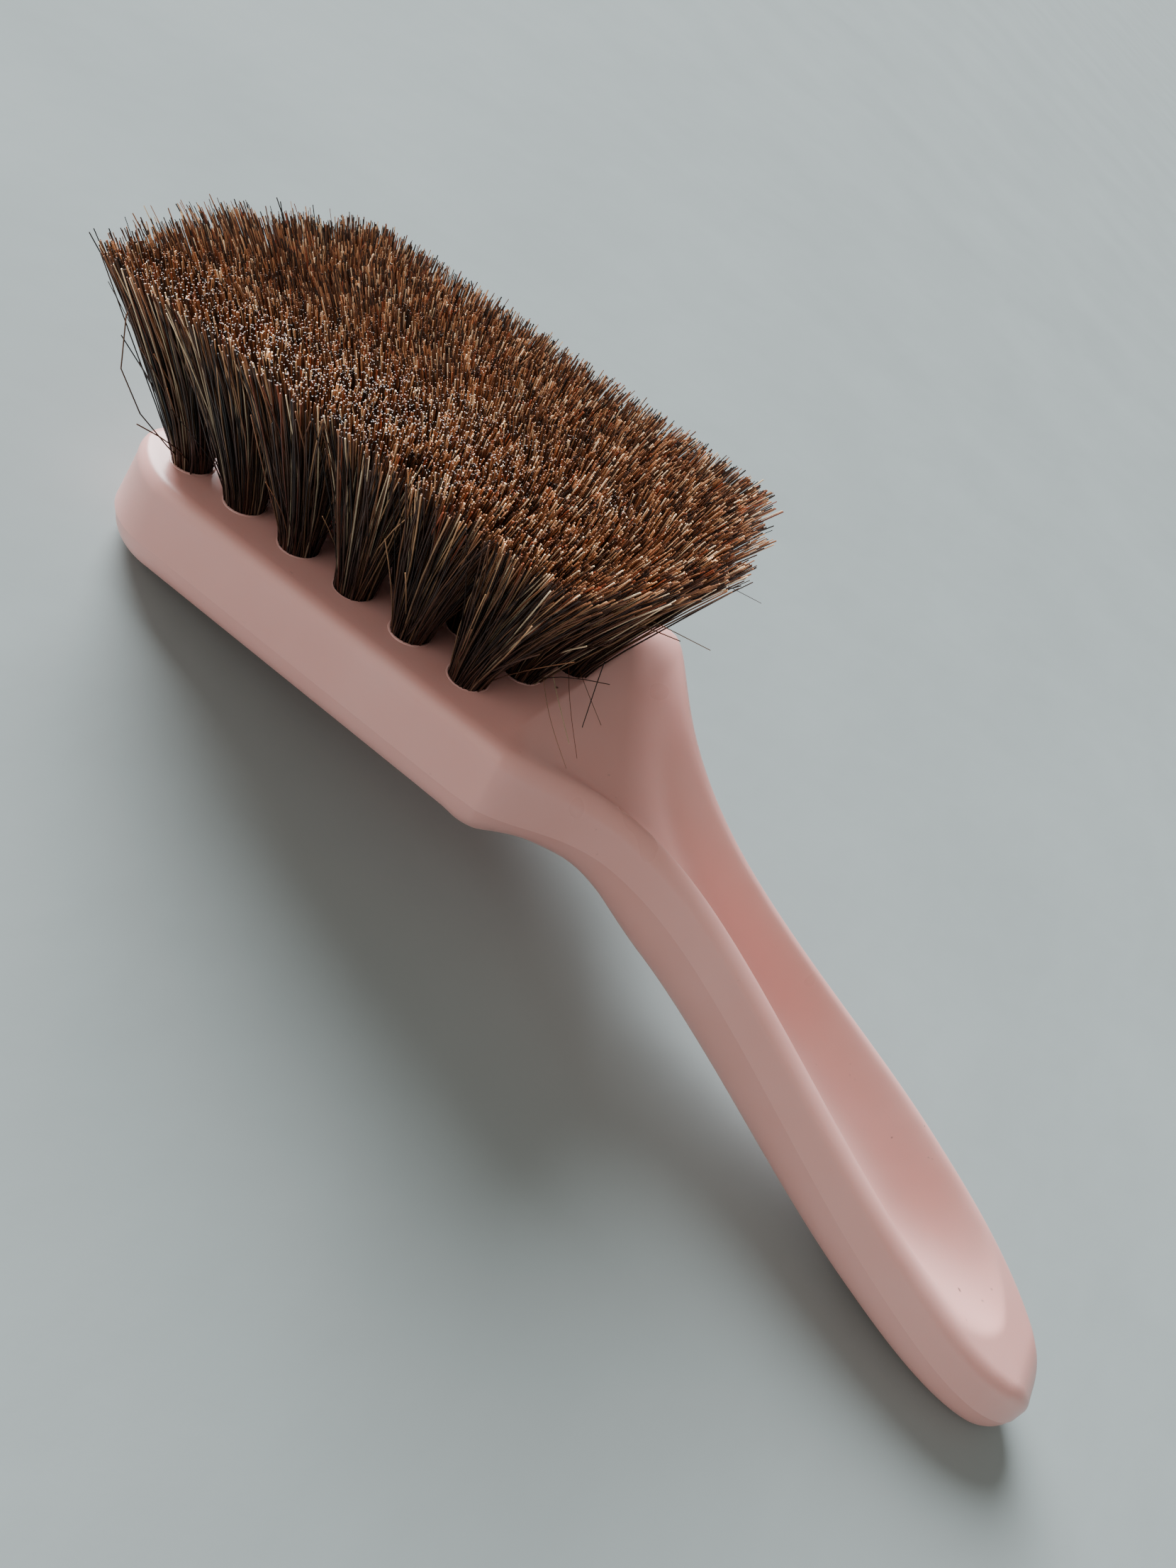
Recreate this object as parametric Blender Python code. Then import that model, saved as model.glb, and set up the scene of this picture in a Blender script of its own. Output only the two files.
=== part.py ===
"""Horsehair hand brush with a one-piece moulded back and handle.

Model frame while building, called the brush frame: +X runs from the back end of the
block to the tip of the handle, +Y across, +Z the way the bristles point, and Z = 0 is
the flat face that the tufts stand on.  The finished brush is then set down, bristles
up, on the floor Z = 0: it rests on the back edge of the block and on the handle's tip.
"""

import math

import bmesh
import bpy
from mathutils import Matrix, Vector

MM = 0.001
FIT_GAP = 0.3 * MM                 # clearance between pieces that touch

# Block
BLOCK_LENGTH = 78.6 * MM           # back end to the crease where the handle starts
BLOCK_WIDTH = 56.2 * MM
BLOCK_THICKNESS = 16.4 * MM
PARTING_DEPTH = 10.5 * MM          # mould parting line below the tufted face
CORNER_RADIUS = 14.0 * MM          # back corners seen from above, at the parting line
TOP_CORNER_RADIUS = 17.0 * MM      # the same corners at the tufted face
TOP_FILLET = 2.6 * MM
BACK_FILLET = 5.2 * MM
SIDE_DRAFT = 1.1 * MM              # how far the side leans in above the parting line
END_DRAFT = 1.4 * MM               # the same for the back end
PARTING_STEP = 0.35 * MM           # the lower mould half is this much smaller

# Handle
HANDLE_LENGTH = 124.2 * MM         # crease to tip, along X
HANDLE_DROOP = 0.48                # fall per unit of length
SHOULDER_DISTANCE = 1.4 * MM       # crease to the corner where the sides turn in
NECK_WIDTH = 20.4 * MM
NECK_DISTANCE = 38.6 * MM          # crease to the narrowest place
GRIP_WIDTH = 28.6 * MM
GRIP_DISTANCE = 86.6 * MM          # crease to the widest place
HANDLE_THICKNESS = 19.6 * MM       # vertical, at the neck
TIP_THICKNESS = 13.6 * MM
NECK_TUCK = 0.6                    # how much rounder the underside is where it flares
RIM_ABOVE_PARTING = 7.2 * MM
TIP_RADIUS = 7.0 * MM
TROUGH_DEPTH = 7.6 * MM
TROUGH_RAMP = 13.0 * MM            # how gently the trough falls away from the block
FACET_WALL = 0.45                  # share of the ramp's half width that its side walls take
TROUGH_END_WALL = 13.0 * MM        # solid length between the trough and the tip
TROUGH_END_RUN = 26.0 * MM         # stretch over which the trough rises to that end
BEND_LENGTH = 5.0 * MM             # stretch over which the crest turns down

# Tufts and their wire anchors
TUFTS_IN_ROW = (6, 6, 5, 6, 6)
TUFT_PITCH = 11.0 * MM             # in the outer rows
ROW_PITCH = 9.0 * MM
ROW_SHIFT = 3.6 * MM               # each row towards the middle sits this much further on
FIRST_TUFT = 12.1 * MM             # back end of the block to the first tuft's centre
HOLE_DIAMETER = 6.2 * MM
HOLE_DEPTH = 9.5 * MM
BRISTLE_LENGTH = 28.0 * MM
FACE_LENGTH = 98.0 * MM            # the trimmed face that the bristle tips make, along its middle
FACE_TAPER = 7.5 * MM              # how much shorter the face is at each row further out
FACE_MIDDLE = 40.2 * MM            # the middle of the face, from the block's end
FACE_WIDTH = 59.0 * MM
ANCHOR_WIDTH = 7.2 * MM            # longer than the hole is wide, so its ends bite
ANCHOR_HEIGHT = 1.6 * MM
ANCHOR_THICKNESS = 0.6 * MM
KNOT_BELOW_ANCHOR = 1.6 * MM       # hair that folds under the anchor

SECTION_ARC_STEPS = 5
TROUGH_STEPS = 6
HOLE_SIDES = 20
TUFT_SIDES = 20


def clear_scene():
    for item in list(bpy.data.objects):
        bpy.data.objects.remove(item, do_unlink=True)


def make_collection(name):
    collection = bpy.data.collections.new(name)
    bpy.context.scene.collection.children.link(collection)
    return collection


def make_material(name, colour, roughness, metallic=0.0):
    material = bpy.data.materials.new(name)
    material.use_nodes = True
    shader = material.node_tree.nodes["Principled BSDF"]
    shader.inputs["Base Color"].default_value = (*colour, 1.0)
    shader.inputs["Roughness"].default_value = roughness
    shader.inputs["Metallic"].default_value = metallic
    return material


def make_object(name, mesh, collection, material=None):
    item = bpy.data.objects.new(name, mesh)
    collection.objects.link(item)
    if material:
        mesh.materials.append(material)
    return item


def smooth_step(value, start, end):
    share = min(max((value - start) / (end - start), 0.0), 1.0)
    return share * share * (3.0 - 2.0 * share)


def fall_line(x, start, blend):
    """Fall of a line that bends from level to the handle's droop over `blend`."""
    run = x - start
    if run <= 0.0:
        return 0.0
    if run < blend:
        return HANDLE_DROOP * run * run / (2.0 * blend)
    return HANDLE_DROOP * (run - blend / 2.0)


def rounding(distance, radius):
    """How far a corner of this radius pulls in, `distance` from the end it closes."""
    if distance >= radius:
        return 0.0
    lack = radius - max(distance, 0.0)
    return radius - math.sqrt(max(radius * radius - lack * lack, 0.0))


# ---------------------------------------------------------------- body outline

def total_length():
    return BLOCK_LENGTH + HANDLE_LENGTH


def neck_half_width(run):
    """Half width `run` past the shoulder, on a Bezier curve down to the neck."""
    wide = BLOCK_WIDTH / 2.0
    narrow = NECK_WIDTH / 2.0
    length = NECK_DISTANCE - SHOULDER_DISTANCE
    low, high = 0.0, 1.0
    for _ in range(40):
        share = (low + high) / 2.0
        place = length * (3.0 * (1.0 - share) ** 2 * share * 0.18
                          + 3.0 * (1.0 - share) * share ** 2 * 0.333 + share ** 3)
        if place > run:
            high = share
        else:
            low = share
    spread = (1.0 - share) ** 3 + 3.0 * (1.0 - share) ** 2 * share * 0.88
    return narrow + (wide - narrow) * spread


def half_width(x):
    """Half width at the parting line."""
    run = x - BLOCK_LENGTH
    half = BLOCK_WIDTH / 2.0
    if run > SHOULDER_DISTANCE:
        half = neck_half_width(min(run, NECK_DISTANCE) - SHOULDER_DISTANCE)
    half += smooth_step(run, NECK_DISTANCE, GRIP_DISTANCE) * (GRIP_WIDTH - NECK_WIDTH) / 2.0
    if run > GRIP_DISTANCE:
        share = (run - GRIP_DISTANCE) / (HANDLE_LENGTH - GRIP_DISTANCE)
        half *= max(1.0 - share ** 2.8, 0.0) ** 0.556
    return half - rounding(x, CORNER_RADIUS)


def crest_height(x):
    """Height of the tufted face and, past it, of the handle's rims."""
    return -fall_line(x, BLOCK_LENGTH - 0.6 * MM, BEND_LENGTH)


def end_share(x):
    """1 along the body, closing to 0 at the tip as a quarter round."""
    lack = max(TIP_RADIUS - (total_length() - x), 0.0) / TIP_RADIUS
    return math.sqrt(max(1.0 - lack * lack, 0.0))


def end_face_share(x):
    """How far up the back end the section at x reaches: a sloping face, then its fillet."""
    fillet = TOP_FILLET / PARTING_DEPTH
    if x < END_DRAFT:
        return 0.12 + (0.88 - fillet) * x / END_DRAFT
    lack = 1.0 - min((x - END_DRAFT) / TOP_FILLET, 1.0)
    return 1.0 - fillet + fillet * math.sqrt(1.0 - lack * lack)


def parting_height(x):
    handle_share = smooth_step(x, BLOCK_LENGTH - 4.0 * MM, BLOCK_LENGTH + 20.0 * MM)
    depth = PARTING_DEPTH + (RIM_ABOVE_PARTING - PARTING_DEPTH) * handle_share
    return crest_height(x) - depth


def back_height(x):
    """Height of the underside before the tip rounds it off."""
    slope_start = BLOCK_LENGTH - 5.6 * MM
    level = -BLOCK_THICKNESS - fall_line(x, slope_start, BEND_LENGTH)
    handle = crest_height(x) - HANDLE_THICKNESS
    thinning = HANDLE_THICKNESS - TIP_THICKNESS
    run = (x - BLOCK_LENGTH - NECK_DISTANCE) / (HANDLE_LENGTH - NECK_DISTANCE)
    handle += thinning * max(run, 0.0) ** 2.4
    share = smooth_step(x, BLOCK_LENGTH, BLOCK_LENGTH + 25.0 * MM)
    return level + (handle - level) * share


def trough_depth(x):
    start = BLOCK_LENGTH - 0.8 * MM
    end = total_length() - TROUGH_END_WALL
    if x <= start or x >= end:
        return 0.0
    fall = 1.0 - math.exp(-(x - start) / TROUGH_RAMP)
    close = math.sin(math.pi / 2.0 * min((end - x) / TROUGH_END_RUN, 1.0))
    return TROUGH_DEPTH * fall * close


def trough_opening(x):
    """Share of the top's width that the trough takes: 1, closing round at its end."""
    end = total_length() - TROUGH_END_WALL
    lack = 1.0 - min(max(end - x, 0.0) / (10.0 * MM), 1.0)
    return max(math.sqrt(1.0 - lack * lack), 0.05)


def body_section(x):
    """Half section at x, from the middle of the back up to the middle of the top."""
    half = half_width(x)
    close = end_share(x)
    parting = parting_height(x)
    top = parting + (crest_height(x) - parting) * close * end_face_share(x)
    back = parting + (back_height(x) - parting) * close
    back += min(rounding(x, BACK_FILLET) * 0.75, (parting - back) * 0.7)
    inset = min(1.0, half / (8.0 * MM))
    fillet = TOP_FILLET * inset
    crest = half - SIDE_DRAFT * inset - fillet
    crest -= rounding(x, TOP_CORNER_RADIUS) - rounding(x, CORNER_RADIUS)
    handle_share = smooth_step(x, BLOCK_LENGTH - 6.0 * MM, BLOCK_LENGTH + 20.0 * MM)
    flat = (half - BACK_FILLET * inset) * (1.0 - handle_share) + 0.4 * half * handle_share
    lower = half - PARTING_STEP * inset
    tuck = NECK_TUCK * smooth_step(x, BLOCK_LENGTH - 2.0 * MM, BLOCK_LENGTH + 8.0 * MM)
    tuck *= 1.0 - smooth_step(x, BLOCK_LENGTH + 12.0 * MM, BLOCK_LENGTH + 30.0 * MM)
    flat *= 1.0 - tuck
    power = 0.9 + 0.6 * tuck

    points = [(0.0, back)]
    for step in range(SECTION_ARC_STEPS + 1):
        angle = math.pi / 2.0 * (1.0 - step / SECTION_ARC_STEPS)
        across = flat + (lower - flat) * math.cos(angle) ** power
        height = parting + (back - parting) * math.sin(angle) ** power
        points.append((across, height))
    points.append((half, parting + 0.25 * MM * inset))
    side_top = top - min(fillet, (top - parting) * 0.5)
    for step in range(SECTION_ARC_STEPS + 1):
        angle = math.pi / 2.0 * step / SECTION_ARC_STEPS
        across = crest + fillet * math.cos(angle)
        points.append((across, side_top + (top - side_top) * math.sin(angle)))
    depth = trough_depth(x)
    opening = trough_opening(x)
    spread = smooth_step(x, BLOCK_LENGTH + 4.0 * MM, BLOCK_LENGTH + 30.0 * MM)
    wall = FACET_WALL + (1.0 - FACET_WALL) * spread
    for step in range(1, TROUGH_STEPS + 1):
        share = step / TROUGH_STEPS
        inner = max((share - 1.0 + opening) / opening, 0.0)
        inner = min(inner / wall, 1.0)
        fall = (1.0 - math.cos(math.pi * inner ** 0.8)) / 2.0
        points.append((crest * (1.0 - share), top - depth * fall))
    return points


def body_stations():
    """Places of the sections: close together where the body turns, wide elsewhere."""
    ends = [0.0, 0.3, 0.8, 1.4, 1.9, 2.6, 4.0, 5.6, 7.8, 10.6, 14.0]
    stations = [value * MM for value in ends]
    stations += [BLOCK_LENGTH * share for share in (0.3, 0.55, 0.8)]
    shoulder = (-4.0, -0.8, 0.4, 1.4, 2.4, 4.0, 6.5, 9.5, 13.0, 17.0, 22.0, 28.0, 34.0)
    stations += [BLOCK_LENGTH + value * MM for value in shoulder]
    run_start = stations[-1]
    run_end = total_length() - 40.0 * MM
    steps = 6
    stations += [run_start + (run_end - run_start) * n / steps for n in range(1, steps + 1)]
    tip = (34.0, 28.0, 23.0, 20.0, 17.5, 15.5, 14.0, 13.0, 10.5, 8.0, 5.6, 3.8, 2.4, 1.2, 0.5, 0.12)
    stations += [total_length() - value * MM for value in tip]
    return stations


def make_body_mesh():
    mesh = bpy.data.meshes.new("moulded_body")
    form = bmesh.new()
    rings = []
    for x in body_stations():
        half = body_section(x)
        ring = half + [(-y, z) for y, z in reversed(half[1:-1])]
        rings.append([form.verts.new((x, y, z)) for y, z in ring])
    count = len(rings[0])
    for ring, following in zip(rings, rings[1:]):
        for n in range(count):
            after = (n + 1) % count
            form.faces.new((ring[n], ring[after], following[after], following[n]))
    form.faces.new(rings[0])
    form.faces.new(rings[-1])
    bmesh.ops.recalc_face_normals(form, faces=form.faces)
    form.to_mesh(mesh)
    form.free()
    mesh.shade_smooth()
    mesh.set_sharp_from_angle(angle=math.radians(35.0))
    return mesh


# ---------------------------------------------------------------- tuft places

def tuft_places():
    """(row, column, x, y) of every tuft; every row spans the same length."""
    places = []
    span = (max(TUFTS_IN_ROW) - 1) * TUFT_PITCH
    middle = (len(TUFTS_IN_ROW) - 1) / 2.0
    for row, count in enumerate(TUFTS_IN_ROW):
        first = FIRST_TUFT + ROW_SHIFT * (middle - abs(row - middle))
        y = (row - middle) * ROW_PITCH
        for column in range(count):
            places.append((row + 1, column + 1, first + span * column / (count - 1), y))
    return places


def face_cell(row, column):
    """Middle and size of the part of the trimmed face that a tuft's tips fill."""
    whole = FACE_LENGTH - FACE_TAPER * abs(row - (len(TUFTS_IN_ROW) + 1) / 2.0)
    length = whole / TUFTS_IN_ROW[row - 1]
    depth = FACE_WIDTH / len(TUFTS_IN_ROW)
    x = FACE_MIDDLE - whole / 2.0 + length * (column - 0.5)
    y = depth * (row - 0.5) - FACE_WIDTH / 2.0
    return x, y, length, depth


def anchor_height():
    """Height of the underside of the anchors."""
    return -HOLE_DEPTH + FIT_GAP + KNOT_BELOW_ANCHOR


def add_box(form, centre, size):
    place = Matrix.Translation(centre) @ Matrix.Diagonal((*size, 1.0))
    bmesh.ops.create_cube(form, size=1.0, matrix=place)


def make_hole_cutter(collection):
    mesh = bpy.data.meshes.new("tuft_holes")
    form = bmesh.new()
    above = 4.0 * MM
    for _, _, x, y in tuft_places():
        place = Matrix.Translation((x, y, (above - HOLE_DEPTH) / 2.0))
        bmesh.ops.create_cone(form, cap_ends=True, segments=HOLE_SIDES,
                              radius1=HOLE_DIAMETER / 2.0, radius2=HOLE_DIAMETER / 2.0,
                              depth=above + HOLE_DEPTH, matrix=place)
    form.to_mesh(mesh)
    form.free()
    return make_cutter("tuft_holes", mesh, collection)


def make_slot_cutter(collection):
    """Slots in the hole walls that the ends of the anchors bite into."""
    mesh = bpy.data.meshes.new("anchor_slots")
    form = bmesh.new()
    size = (ANCHOR_THICKNESS + 2.0 * FIT_GAP, ANCHOR_WIDTH + 2.0 * FIT_GAP,
            ANCHOR_HEIGHT + 2.0 * FIT_GAP)
    middle = anchor_height() + ANCHOR_HEIGHT / 2.0
    for _, _, x, y in tuft_places():
        add_box(form, (x, y, middle), size)
    form.to_mesh(mesh)
    form.free()
    return make_cutter("anchor_slots", mesh, collection)


def make_cutter(name, mesh, collection):
    cutter = make_object(name, mesh, collection)
    cutter.hide_render = True
    cutter.display_type = "WIRE"
    return cutter


def cut(item, cutter):
    modifier = item.modifiers.new(cutter.name, "BOOLEAN")
    modifier.operation = "DIFFERENCE"
    modifier.solver = "EXACT"
    modifier.object = cutter


# ---------------------------------------------------------------- tufts

def tuft_outline(share, radius, half_length, half_depth):
    """Closed outline that turns from a circle (share 0) into a rounded oblong (share 1)."""
    power = 1.0 - 0.55 * share
    length = radius + (half_length - radius) * share
    depth = radius + (half_depth - radius) * share
    outline = []
    for n in range(TUFT_SIDES):
        angle = 2.0 * math.pi * (n + 0.5) / TUFT_SIDES
        across = math.copysign(abs(math.cos(angle)) ** power, math.cos(angle))
        along = math.copysign(abs(math.sin(angle)) ** power, math.sin(angle))
        outline.append((length * across, depth * along))
    return outline


def make_tuft_mesh(name, row, column, x, y):
    """Knot in the hole, then a bundle that leans and spreads to its cell of the face."""
    mesh = bpy.data.meshes.new(name)
    form = bmesh.new()
    radius = HOLE_DIAMETER / 2.0 - FIT_GAP
    cell_x, cell_y, cell_length, cell_depth = face_cell(row, column)
    lean_x = cell_x - x
    lean_y = cell_y - y
    rings = []
    bottom = -HOLE_DEPTH + FIT_GAP
    for height in (bottom, 0.0, BRISTLE_LENGTH * 0.5, BRISTLE_LENGTH):
        share = max(height, 0.0) / BRISTLE_LENGTH
        outline = tuft_outline(share, radius, (cell_length - FIT_GAP) / 2.0,
                               (cell_depth - FIT_GAP) / 2.0)
        rings.append([form.verts.new((px + lean_x * share, py + lean_y * share, height))
                      for px, py in outline])
    for ring, following in zip(rings, rings[1:]):
        for n in range(TUFT_SIDES):
            after = (n + 1) % TUFT_SIDES
            form.faces.new((ring[n], ring[after], following[after], following[n]))
    form.faces.new(rings[0])
    form.faces.new(rings[-1])
    bmesh.ops.recalc_face_normals(form, faces=form.faces)
    form.to_mesh(mesh)
    form.free()
    return mesh


def make_tunnel_cutter(collection):
    """The way through each knot that its anchor lies in, with hair above and below."""
    mesh = bpy.data.meshes.new("anchor_tunnel")
    form = bmesh.new()
    size = (ANCHOR_THICKNESS + 2.0 * FIT_GAP, HOLE_DIAMETER * 2.0,
            ANCHOR_HEIGHT + 2.0 * FIT_GAP)
    add_box(form, (0.0, 0.0, anchor_height() + ANCHOR_HEIGHT / 2.0), size)
    form.to_mesh(mesh)
    form.free()
    return mesh


def make_anchor_mesh():
    mesh = bpy.data.meshes.new("wire_anchor")
    form = bmesh.new()
    size = (ANCHOR_THICKNESS, ANCHOR_WIDTH, ANCHOR_HEIGHT)
    add_box(form, (0.0, 0.0, anchor_height() + ANCHOR_HEIGHT / 2.0), size)
    form.to_mesh(mesh)
    form.free()
    return mesh


# ---------------------------------------------------------------- setting down

def lowest_difference(points, angle):
    """Back end's lowest height less the tip's, after turning by `angle` about Y."""
    middle = total_length() / 2.0
    back_end = min(z * math.cos(angle) - x * math.sin(angle) for x, z in points if x < middle)
    tip_end = min(z * math.cos(angle) - x * math.sin(angle) for x, z in points if x >= middle)
    return back_end - tip_end


def resting_angle(mesh):
    """Turn about Y at which the back edge and the tip stand equally low."""
    points = [(vertex.co.x, vertex.co.z) for vertex in mesh.vertices]
    low, high = -math.pi / 4.0, math.pi / 8.0
    for _ in range(50):
        middle = (low + high) / 2.0
        if lowest_difference(points, middle) > 0.0:
            high = middle
        else:
            low = middle
    return (low + high) / 2.0


def set_down(items, angle):
    """Parent everything to an empty that lays the brush on the floor, box centred on Z."""
    turn = Matrix.Rotation(angle, 4, "Y")
    corners = []
    for item in items:
        corners += [turn @ item.matrix_world @ vertex.co for vertex in item.data.vertices]
    low = Vector([min(corner[axis] for corner in corners) for axis in range(3)])
    high = Vector([max(corner[axis] for corner in corners) for axis in range(3)])
    rest = bpy.data.objects.new("set_down", None)
    bpy.context.scene.collection.objects.link(rest)
    rest.rotation_euler = (0.0, angle, 0.0)
    rest.location = (-(low.x + high.x) / 2.0, -(low.y + high.y) / 2.0, -low.z)
    return rest


def main():
    clear_scene()
    parts = make_collection("horsehair_brush")
    cutters = make_collection("cutters")
    plastic = make_material("moulded_plastic", (0.78, 0.53, 0.50), 0.32)
    hair = make_material("horsehair", (0.035, 0.020, 0.013), 0.55)
    steel = make_material("anchor_steel", (0.55, 0.55, 0.57), 0.35, 1.0)

    body = make_object("moulded_body", make_body_mesh(), parts, plastic)
    holes = make_hole_cutter(cutters)
    slots = make_slot_cutter(cutters)
    cut(body, holes)
    cut(body, slots)

    items = [body]
    tunnels = []
    for row, column, x, y in tuft_places():
        label = f"{row}_{column}"
        tuft_mesh = make_tuft_mesh(f"tuft_{label}", row, column, x, y)
        tuft = make_object(f"tuft_{label}", tuft_mesh, parts, hair)
        tuft.location = (x, y, 0.0)
        tunnel = make_cutter(f"tunnel_{label}", make_tunnel_cutter(cutters), cutters)
        tunnel.location = (x, y, 0.0)
        cut(tuft, tunnel)
        anchor = make_object(f"anchor_{label}", make_anchor_mesh(), parts, steel)
        anchor.location = (x, y, 0.0)
        items += [tuft, anchor]
        tunnels.append(tunnel)

    bpy.context.view_layer.update()
    rest = set_down(items, resting_angle(body.data))
    for item in items + tunnels + [holes, slots]:
        item.parent = rest
    bpy.context.view_layer.update()


main()
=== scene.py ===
"""Looks of the horsehair hand brush: moulded body, cut hair tufts, stray hairs, light, camera.

Shapes are worked out in the brush frame, in millimetres: +X from the block's back end to
the handle's tip, +Y across, +Z the way the hair points, Z = 0 the tufted face.  PLACE
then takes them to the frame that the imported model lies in.
"""

import math

import bmesh
import bpy
import numpy as np
from mathutils import Matrix, Vector


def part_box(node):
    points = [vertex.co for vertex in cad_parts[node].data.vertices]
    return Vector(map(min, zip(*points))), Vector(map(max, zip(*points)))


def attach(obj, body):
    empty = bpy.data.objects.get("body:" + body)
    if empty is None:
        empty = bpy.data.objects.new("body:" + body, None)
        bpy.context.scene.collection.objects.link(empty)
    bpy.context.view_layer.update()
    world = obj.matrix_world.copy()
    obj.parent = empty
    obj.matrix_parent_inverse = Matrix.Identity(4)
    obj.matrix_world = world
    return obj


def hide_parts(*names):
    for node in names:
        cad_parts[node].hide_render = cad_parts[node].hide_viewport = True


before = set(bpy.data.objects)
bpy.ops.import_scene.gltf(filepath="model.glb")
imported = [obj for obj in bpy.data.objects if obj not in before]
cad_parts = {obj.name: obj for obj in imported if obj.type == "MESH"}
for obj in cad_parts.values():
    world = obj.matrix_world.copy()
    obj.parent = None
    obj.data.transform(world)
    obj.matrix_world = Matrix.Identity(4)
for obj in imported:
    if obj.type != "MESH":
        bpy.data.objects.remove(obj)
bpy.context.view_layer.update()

MM = 0.001

# Sizes of the body, in millimetres; the same as the model's own.
BLOCK_LENGTH = 78.6
BLOCK_WIDTH = 56.2
BLOCK_THICKNESS = 16.4
PARTING_DEPTH = 10.5
CORNER_RADIUS = 14.0
TOP_CORNER_RADIUS = 17.0
TOP_FILLET = 2.6
BACK_FILLET = 5.2
SIDE_DRAFT = 1.1
END_DRAFT = 1.4
PARTING_STEP = 0.35
HANDLE_LENGTH = 124.2
HANDLE_DROOP = 0.48
SHOULDER_DISTANCE = 1.4
NECK_WIDTH = 20.4
NECK_DISTANCE = 38.6
GRIP_WIDTH = 28.6
GRIP_DISTANCE = 86.6
HANDLE_THICKNESS = 19.6
TIP_THICKNESS = 13.6
NECK_TUCK = 0.6
RIM_ABOVE_PARTING = 7.2
TIP_RADIUS = 7.0
TROUGH_DEPTH = 7.6
TROUGH_RAMP = 13.0
FACET_WALL = 0.45
TROUGH_END_WALL = 13.0
TROUGH_END_RUN = 26.0
BEND_LENGTH = 5.0
TOTAL_LENGTH = BLOCK_LENGTH + HANDLE_LENGTH

TUFTS_IN_ROW = (6, 6, 5, 6, 6)
TUFT_PITCH = 11.0
ROW_PITCH = 9.0
ROW_SHIFT = 3.6
FIRST_TUFT = 12.1
HOLE_RADIUS = 3.1
ANCHOR_MIDDLE = -6.8
BRISTLE_LENGTH = 28.0
FACE_LENGTH = 98.0
FACE_TAPER = 7.5
FACE_MIDDLE = 40.2
FACE_WIDTH = 59.0

SHARP_ANGLE = 32.0                 # edges that turn more than this stay sharp

# The hair, in millimetres where it is a length.
HAIRS_PER_TUFT = 640
HAIR_RADIUS = 0.115
HAIR_SHARES = (0.0, 0.14, 0.32, 0.54, 0.78, 1.0)   # where along a hair its points lie
ROOT_INSET = 0.2                   # hairs keep this far inside the hole's wall
ROOT_DEPTH = 0.8                   # and start this far below its mouth
TIP_SCATTER = 1.0
HEIGHT_SCATTER = 0.3
BACK_FLARE = 1.0                   # how far the outer tips lean past the face, on average
FRONT_FLARE = 1.2
SIDE_FLARE = 0.9
SHORT_SHARE = 0.07                 # of the hairs, and by how much they are too short
SHORT_BY = 3.5
WILD_SHARE = 0.03                  # of the hairs, and how far they wander
WILD_SCATTER = 1.8
LOWEST_TIP = 8.0
TALLEST_OVER = 1.2                 # how far a tip may stand above the trimmed face
HAIR_BOW = 0.5
CORNER_POWER = 4.0                 # how square the corners of the trimmed face are
CORNER_GIVE = 0.55                 # share of its overhang that a tip past them keeps
ROOT_PAINTED_SHADE = 0.36                   # brightness of a hair at its root (painted shade), tip and cut end (painted highlight)
TIP_PAINTED_HIGHLIGHT = 2.3
CUT_END_PAINTED_HIGHLIGHT = 1.6
SHED_HAIRS = 5                     # loose on the moulding
BENT_HAIRS = 6                     # sticking out of the near tufts
LONE_HAIRS = 4                     # leaning out of the ends
STRAY_POINTS = 16

# The camera, in the brush frame.
CAMERA_PLACE = (121.1, -142.8, 100.1)
CAMERA_UP = (-0.603, 0.410, 0.684)
CAMERA_BACK = (0.189, -0.760, 0.622)
CAMERA_LENS = 27.03
SENSOR_HEIGHT = 36.0
NEAREST_SEEN = 0.005

# The stage, in metres.
PAPER_HALF_SIDE = 40.0
PAPER_DROP = 0.0003
ROOM_COLOUR = (1.0, 0.975, 0.90, 1.0)
ROOM_STRENGTH = 0.28


# ------------------------------------------------------------------ placing

def node_middle(name):
    low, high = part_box(name)
    return (Vector(low) + Vector(high)) / 2.0


def brush_place():
    """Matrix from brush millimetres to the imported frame, read from two anchors."""
    first = node_middle("anchor_1_1")
    last = node_middle("anchor_1_6")
    along = (last - first).normalized()
    across = Vector((0.0, 1.0, 0.0))
    upward = along.cross(across)
    turn = Matrix((along, across, upward)).transposed().to_4x4()
    known = Vector((FIRST_TUFT, -2.0 * ROW_PITCH, ANCHOR_MIDDLE)) * MM
    shift = Matrix.Translation(first - turn.to_3x3() @ known)
    return shift @ turn @ Matrix.Scale(MM, 4)


PLACE = brush_place()


def new_piece(name, mesh, material):
    piece = bpy.data.objects.new(name, mesh)
    bpy.context.scene.collection.objects.link(piece)
    mesh.materials.append(material)
    return piece


def finish_form(form, name):
    """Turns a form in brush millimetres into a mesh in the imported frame."""
    bmesh.ops.transform(form, matrix=PLACE, verts=form.verts)
    bmesh.ops.recalc_face_normals(form, faces=form.faces)
    mesh = bpy.data.meshes.new(name)
    form.to_mesh(mesh)
    form.free()
    mesh.shade_smooth()
    mesh.set_sharp_from_angle(angle=math.radians(SHARP_ANGLE))
    return mesh


# ------------------------------------------------------------------ materials

def linear(text):
    """Linear colour of an sRGB hex code."""
    parts = [int(text[n:n + 2], 16) / 255.0 for n in (1, 3, 5)]
    flat = [p / 12.92 if p <= 0.04045 else ((p + 0.055) / 1.055) ** 2.4 for p in parts]
    return (*flat, 1.0)


def add(tree, kind, settings=None, links=None):
    """Adds a shader node, sets its values or sockets and links its inputs."""
    node = tree.nodes.new(kind)
    for name, value in (settings or {}).items():
        if isinstance(name, str) and hasattr(node, name):
            setattr(node, name, value)
        else:
            node.inputs[name].default_value = value
    for name, source in (links or {}).items():
        tree.links.new(source, node.inputs[name])
    return node


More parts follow.
